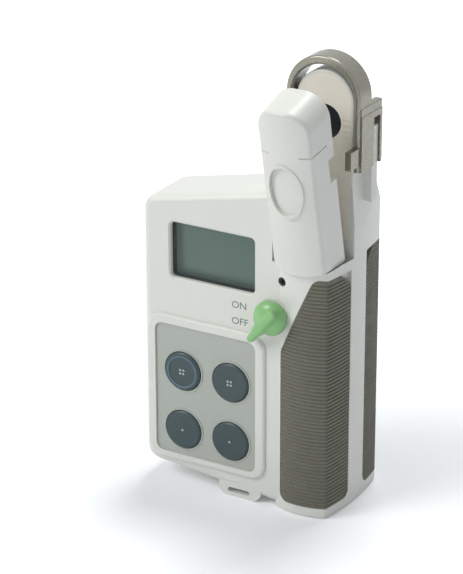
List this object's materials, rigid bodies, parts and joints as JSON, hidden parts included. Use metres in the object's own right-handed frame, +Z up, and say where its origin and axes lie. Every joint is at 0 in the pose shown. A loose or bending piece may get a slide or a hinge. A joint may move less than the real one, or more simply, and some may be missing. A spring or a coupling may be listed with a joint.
{
  "type": "chlorophyll meter",
  "caption": "Hand-held leaf chlorophyll meter: a slanted display body on a ribbed grip, with a hinged measuring head that clamps a leaf against a rear arm.",
  "frame": {"origin": "bottom of the foot, in the middle of the meter's width and depth", "axes": "+X to the right seen from the front, +Y to the back, +Z up"},
  "size_m": [0.078, 0.0577, 0.164],
  "materials": {
    "white_housing": "moulded off-white, satin",
    "face_plate": "beige, matt",
    "dark_window": "dark glossy filter",
    "clear_window": "clear",
    "dark_plastic": "dark, matt",
    "display_glass": "grey-green display",
    "key_plate": "grey-green, satin",
    "key_plastic": "dark blue-grey, satin",
    "mat_rubber": "grey",
    "green_plastic": "green, glossy",
    "grip_rubber": "olive grey, matt",
    "stopper_paint": "metallic grey",
    "screw_steel": "plain",
    "board_green": "green laminate",
    "cell_jacket": "plain jacket",
    "contact_nickel": "nickel plated",
    "lamp_resin": "tinted resin",
    "seal_rubber": "black"
  },
  "bodies": {
    "housing": {"front_cover": "white_housing", "rear_cover": "white_housing", "receptor_face": "face_plate", "receptor_window": "dark_window", "display_window": "clear_window", "lcd_holder": "dark_plastic", "lcd_panel": "display_glass", "key_label": "key_plate", "key_mat": "mat_rubber", "front_grip_pad": "grip_rubber", "rear_grip_pad": "grip_rubber", "front_screw": "screw_steel", "case_screws": "screw_steel", "hinge_pin": "screw_steel", "head_spring": "screw_steel", "click_spring": "screw_steel", "main_board": "board_green", "receptor_board": "board_green", "rotary_switch": "dark_plastic", "buzzer": "dark_plastic", "battery_tray": "dark_plastic", "battery_cells": "cell_jacket", "battery_contacts": "contact_nickel", "housing_seal": "seal_rubber", "photodiode": "dark_plastic"},
    "head": {"head_outer_shell": "white_housing", "head_inner_shell": "white_housing", "emitter_window": "clear_window", "emitter_seal": "seal_rubber", "led_board": "board_green", "emitter_leds": "lamp_resin"},
    "knob": {"power_knob": "green_plastic", "knob_shaft": "dark_plastic"},
    "average": {"average_key": "key_plastic"},
    "clear": {"clear_key": "key_plastic"},
    "recall": {"recall_key": "key_plastic"},
    "delete": {"delete_key": "key_plastic"},
    "stopper": {"depth_stopper": "stopper_paint"},
    "door": {"battery_door": "white_housing"}
  },
  "joints": [
    {"name": "head_hinge", "type": "hinge", "parent": "housing", "child": "head", "pos_m": [0.0244, -0.002, 0.086], "axis": [-1, 0, 0], "range_deg": [0, 12.5], "stiffness_Nm_per_rad": 0.05, "springref_deg": -34.38},
    {"name": "power_turn", "type": "hinge", "parent": "housing", "child": "knob", "pos_m": [0.014, -0.0148, 0.0735], "axis": [0, 1, 0], "range_deg": [0, 35]},
    {"name": "average_press", "type": "slide", "parent": "housing", "child": "average", "axis": [0, 1, 0], "range_m": [0, 0.0008], "stiffness_N_per_m": 800, "springref_m": -0.0008},
    {"name": "clear_press", "type": "slide", "parent": "housing", "child": "clear", "axis": [0, 1, 0], "range_m": [0, 0.0008], "stiffness_N_per_m": 800, "springref_m": -0.0008},
    {"name": "recall_press", "type": "slide", "parent": "housing", "child": "recall", "axis": [0, 1, 0], "range_m": [0, 0.0008], "stiffness_N_per_m": 800, "springref_m": -0.0008},
    {"name": "delete_press", "type": "slide", "parent": "housing", "child": "delete", "axis": [0, 1, 0], "range_m": [0, 0.0008], "stiffness_N_per_m": 800, "springref_m": -0.0008},
    {"name": "stopper_slide", "type": "slide", "parent": "housing", "child": "stopper", "axis": [0, 0, 1], "range_m": [-0.0018, 0.0042]},
    {"name": "door_slide", "type": "slide", "parent": "housing", "child": "door", "axis": [0, 0, -1], "range_m": [0, 0.006]}
  ]
}
